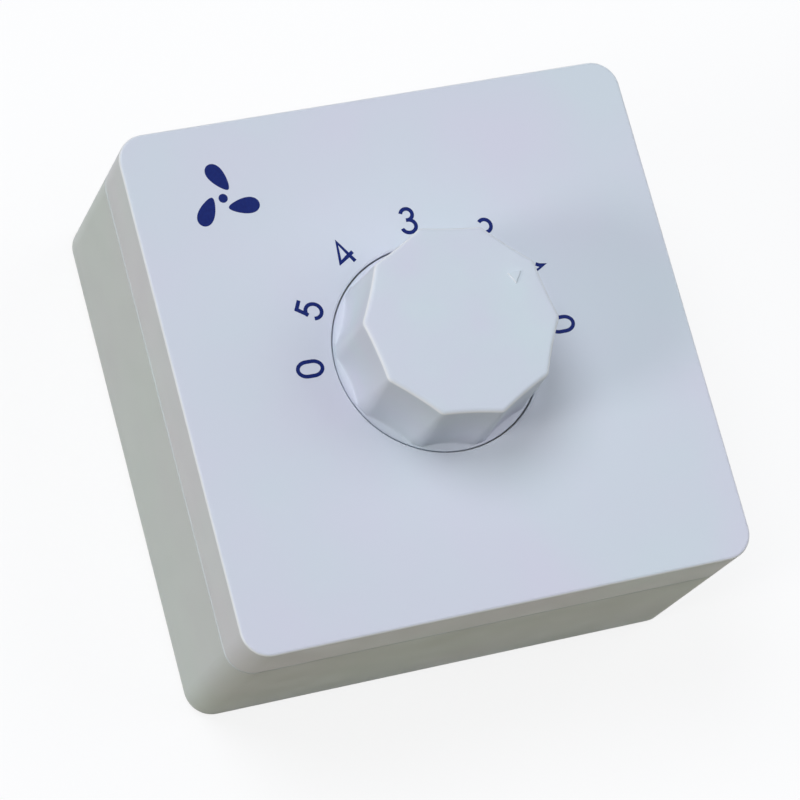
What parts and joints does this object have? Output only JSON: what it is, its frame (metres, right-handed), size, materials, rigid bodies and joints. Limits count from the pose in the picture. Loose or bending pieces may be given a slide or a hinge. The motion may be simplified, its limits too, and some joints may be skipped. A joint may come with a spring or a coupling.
{
  "type": "fan speed control switch",
  "caption": "Square surface-mounted speed regulator for a ceiling fan: clip-on cover over a deep box, fluted knob with dial numbers, stepped rotary switch and tapped choke inside.",
  "frame": {"origin": "centre of the back face, which lies against the wall or on a table", "axes": "+Z is the outward normal of the front face and the knob's axis, +Y points to the top of the face where the number 3 stands, +X to its right"},
  "size_m": [0.086, 0.086, 0.0573],
  "materials": {
    "white_abs": "glossy moulded ABS",
    "knob_abs": "glossy moulded ABS",
    "frame_abs": "satin moulded ABS",
    "zinc_steel": "bright zinc-plated",
    "spring_steel": "polished strip",
    "brass": "turned",
    "zinc_casting": "nickel-plated",
    "nylon": "natural nylon",
    "contact_bronze": "stamped phosphor bronze",
    "dial_ink": "pad-printed ink",
    "phenolic": "punched phenolic board",
    "core_steel": "varnished laminations",
    "copper": "enamelled wire",
    "yellow_tape": "polyester film",
    "terminal_polyamide": "moulded polyamide",
    "lead_red": "PVC insulation",
    "lead_black": "PVC insulation",
    "lead_white": "PVC insulation",
    "lead_yellow": "PVC insulation",
    "lead_green": "PVC insulation",
    "lead_blue": "PVC insulation",
    "lead_orange": "PVC insulation"
  },
  "bodies": {
    "housing": {"back_box": "white_abs", "bracket_screws": "zinc_steel", "bushing_nut": "zinc_steel", "choke_bracket": "zinc_steel", "choke_winding": "copper", "clamp_screws": "zinc_steel", "coil_bobbin": "nylon", "coil_tape": "yellow_tape", "common_contact": "contact_bronze", "contact_wafer": "phenolic", "core_e": "core_steel", "core_i": "core_steel", "detent_spring": "spring_steel", "frame_screws": "zinc_steel", "front_cover": "white_abs", "line_lead": "lead_red", "load_lead": "lead_black", "lock_washer": "zinc_steel", "mounting_frame": "frame_abs", "speed_contact_1": "contact_bronze", "speed_contact_2": "contact_bronze", "speed_contact_3": "contact_bronze", "speed_contact_4": "contact_bronze", "speed_contact_5": "contact_bronze", "switch_bushing": "zinc_casting", "switch_case": "nylon", "tap_lead_1": "lead_white", "tap_lead_2": "lead_yellow", "tap_lead_3": "lead_green", "tap_lead_4": "lead_blue", "tap_lead_5": "lead_orange", "terminal_barrel_line": "brass", "terminal_barrel_load": "brass", "terminal_body": "terminal_polyamide", "terminal_screw": "zinc_steel", "thread_inserts": "brass", "tie_screws": "zinc_steel"},
    "knob_assembly": {"knob": "knob_abs", "knob_clip": "spring_steel", "switch_shaft": "brass", "shaft_clip": "spring_steel", "index_wheel": "nylon", "rotor_contact": "contact_bronze"}
  },
  "joints": [
    {"name": "knob_turn", "type": "hinge", "parent": "housing", "child": "knob_assembly", "pos_m": [0, 0, 0.0425], "axis": [0, 0, 1], "range_deg": [-30, 150], "deforming": ["detent_spring"]}
  ]
}
